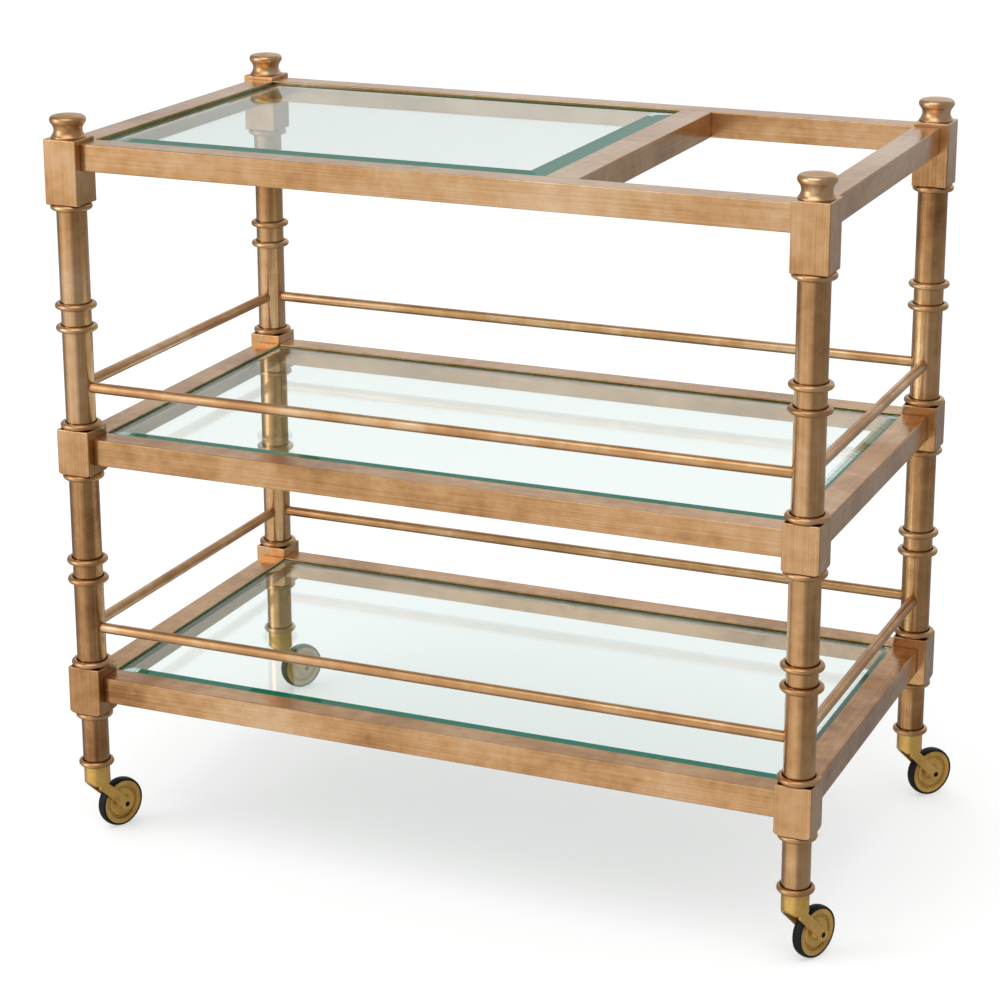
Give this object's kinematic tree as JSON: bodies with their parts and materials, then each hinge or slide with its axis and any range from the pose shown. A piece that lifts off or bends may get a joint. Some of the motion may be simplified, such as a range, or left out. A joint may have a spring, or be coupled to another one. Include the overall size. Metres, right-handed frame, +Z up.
{
  "type": "bar cart",
  "caption": "Tiered bar cart with turned corner posts, bevelled glass shelves, gallery rods, an open bottle bay and swivel casters.",
  "frame": {"origin": "on the floor, under the middle of the whole cart's box, casters included", "axes": "+X along the cart towards the open bay, +Y towards the back, +Z up"},
  "size_m": [0.8748, 0.5176, 0.8177],
  "materials": {
    "antique_brass": "antique brushed and lacquered",
    "caster_brass": "satin cast brass",
    "glass": "clear float glass with polished bevels",
    "rubber": "black moulded rubber",
    "steel": "blackened turned steel",
    "clear_pad": "clear silicone"
  },
  "bodies": {
    "cart_frame": {"finials": "antique_brass", "top_block_fl": "antique_brass", "mid_block_fl": "antique_brass", "low_block_fl": "antique_brass", "top_block_fr": "antique_brass", "mid_block_fr": "antique_brass", "low_block_fr": "antique_brass", "top_block_br": "antique_brass", "mid_block_br": "antique_brass", "low_block_br": "antique_brass", "top_block_bl": "antique_brass", "mid_block_bl": "antique_brass", "low_block_bl": "antique_brass", "post_tubes_fl": "antique_brass", "post_tubes_fr": "antique_brass", "post_tubes_br": "antique_brass", "post_tubes_bl": "antique_brass", "bead_rings": "antique_brass", "collar_rings": "antique_brass", "tie_rods": "steel", "caster_sockets": "caster_brass", "top_rail_front": "antique_brass", "top_rail_back": "antique_brass", "top_rail_left": "antique_brass", "top_rail_right": "antique_brass", "mid_rail_front": "antique_brass", "mid_rail_back": "antique_brass", "mid_rail_left": "antique_brass", "mid_rail_right": "antique_brass", "low_rail_front": "antique_brass", "low_rail_back": "antique_brass", "low_rail_left": "antique_brass", "low_rail_right": "antique_brass", "top_divider": "antique_brass", "top_glass": "glass", "mid_glass": "glass", "low_glass": "glass", "glass_ledges": "antique_brass", "glass_pads": "clear_pad", "gallery_rods": "antique_brass"},
    "caster_fl": {"caster_fork_fl": "caster_brass", "caster_stem_fl": "steel", "caster_axle_fl": "steel"},
    "wheel_fl": {"wheel_hub_fl": "caster_brass", "wheel_tyre_fl": "rubber"},
    "caster_fr": {"caster_fork_fr": "caster_brass", "caster_stem_fr": "steel", "caster_axle_fr": "steel"},
    "wheel_fr": {"wheel_hub_fr": "caster_brass", "wheel_tyre_fr": "rubber"},
    "caster_br": {"caster_fork_br": "caster_brass", "caster_stem_br": "steel", "caster_axle_br": "steel"},
    "wheel_br": {"wheel_hub_br": "caster_brass", "wheel_tyre_br": "rubber"},
    "caster_bl": {"caster_fork_bl": "caster_brass", "caster_stem_bl": "steel", "caster_axle_bl": "steel"},
    "wheel_bl": {"wheel_hub_bl": "caster_brass", "wheel_tyre_bl": "rubber"}
  },
  "joints": [
    {"name": "caster_swivel_fl", "type": "hinge", "parent": "cart_frame", "child": "caster_fl", "pos_m": [-0.415, -0.2365, 0.0837], "axis": [0, 0, 1], "continuous": true},
    {"name": "wheel_spin_fl", "type": "hinge", "parent": "caster_fl", "child": "wheel_fl", "pos_m": [-0.40411, -0.20812, 0.028], "axis": [0.9336, -0.3584, 0], "continuous": true},
    {"name": "caster_swivel_fr", "type": "hinge", "parent": "cart_frame", "child": "caster_fr", "pos_m": [0.398, -0.2365, 0.0837], "axis": [0, 0, 1], "continuous": true},
    {"name": "wheel_spin_fr", "type": "hinge", "parent": "caster_fr", "child": "wheel_fr", "pos_m": [0.41036, -0.20873, 0.028], "axis": [0.9135, -0.4067, 0], "continuous": true},
    {"name": "caster_swivel_br", "type": "hinge", "parent": "cart_frame", "child": "caster_br", "pos_m": [0.398, 0.2065, 0.0837], "axis": [0, 0, 1], "continuous": true},
    {"name": "wheel_spin_br", "type": "hinge", "parent": "caster_br", "child": "wheel_br", "pos_m": [0.41672, 0.23046, 0.028], "axis": [0.788, -0.6157, 0], "continuous": true},
    {"name": "caster_swivel_bl", "type": "hinge", "parent": "cart_frame", "child": "caster_bl", "pos_m": [-0.415, 0.2065, 0.0837], "axis": [0, 0, 1], "continuous": true},
    {"name": "wheel_spin_bl", "type": "hinge", "parent": "caster_bl", "child": "wheel_bl", "pos_m": [-0.3998, 0.23283, 0.028], "axis": [0.866, -0.5, 0], "continuous": true}
  ]
}
